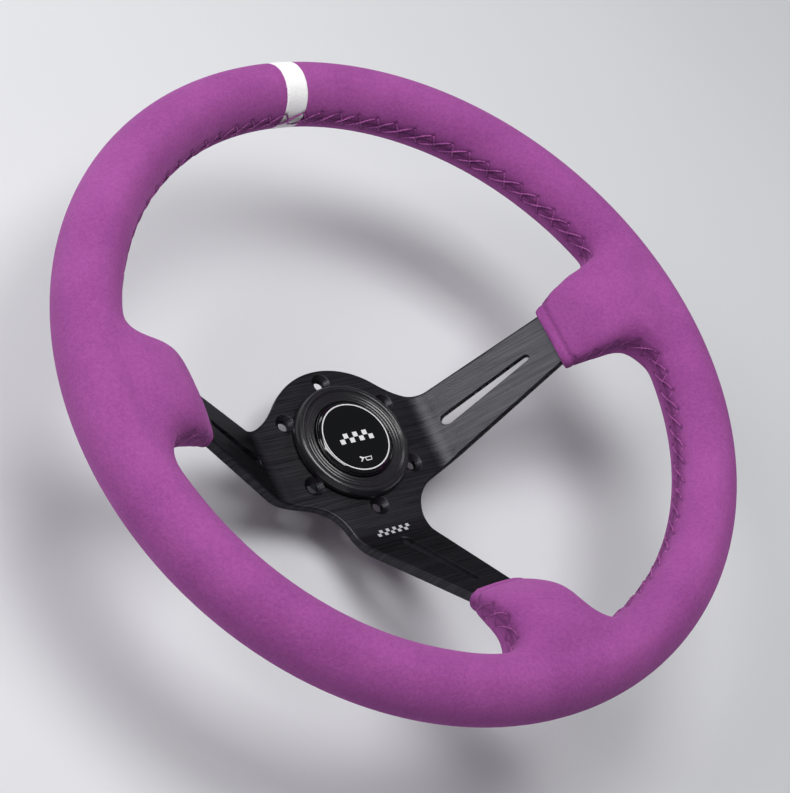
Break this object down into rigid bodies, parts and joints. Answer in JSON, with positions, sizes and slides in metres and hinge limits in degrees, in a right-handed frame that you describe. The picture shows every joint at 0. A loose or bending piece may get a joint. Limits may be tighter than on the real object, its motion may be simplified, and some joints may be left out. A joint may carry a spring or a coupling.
{
  "type": "deep-dish sports steering wheel",
  "caption": "Deep-dish sports steering wheel with a suede grip, white centre marker, slotted black spokes and a spring-return horn button.",
  "frame": {"origin": "centre of the hub's back face, on the wheel's axis", "axes": "+Z along the wheel's axis towards the driver, +Y towards the white marker at 12 o'clock, +X towards 3 o'clock"},
  "size_m": [0.3492, 0.3492, 0.1189],
  "materials": {
    "suede": "napped purple suede",
    "white_leather": "smooth white leather",
    "thread": "waxed purple thread",
    "black_aluminium": "brushed and black anodised",
    "hoop_aluminium": "mill finish",
    "steel": "zinc plated",
    "foam": "moulded integral-skin foam",
    "satin_plastic": "satin black",
    "gloss_plastic": "polished black",
    "nylon": "as moulded",
    "rubber": "matt",
    "brass": "bright"
  },
  "bodies": {
    "wheel": {"spoke_plate": "black_aluminium", "rim_hoop": "hoop_aluminium", "spoke_rivet_1": "steel", "spoke_rivet_2": "steel", "spoke_rivet_3": "steel", "spoke_rivet_4": "steel", "spoke_rivet_5": "steel", "spoke_rivet_6": "steel", "rim_padding": "foam", "rim_cover": "suede", "centre_marker": "white_leather", "seam_thread_upper": "thread", "seam_thread_lower_right": "thread", "seam_thread_lower_left": "thread", "trim_ring": "satin_plastic", "return_spring": "steel", "fixed_contact": "brass", "contact_carrier": "nylon", "horn_housing": "nylon", "live_terminal": "brass", "earth_terminal": "brass", "housing_screw_1": "steel", "housing_screw_2": "steel", "retaining_collar": "rubber"},
    "horn_button": {"button_bezel": "satin_plastic", "button_lens": "gloss_plastic", "moving_contact": "brass"}
  },
  "joints": [
    {"name": "horn_press", "type": "slide", "parent": "wheel", "child": "horn_button", "axis": [0, 0, -1], "range_m": [0, 0.0016], "stiffness_N_per_m": 1500, "springref_m": -0.002, "deforming": ["return_spring"]}
  ]
}
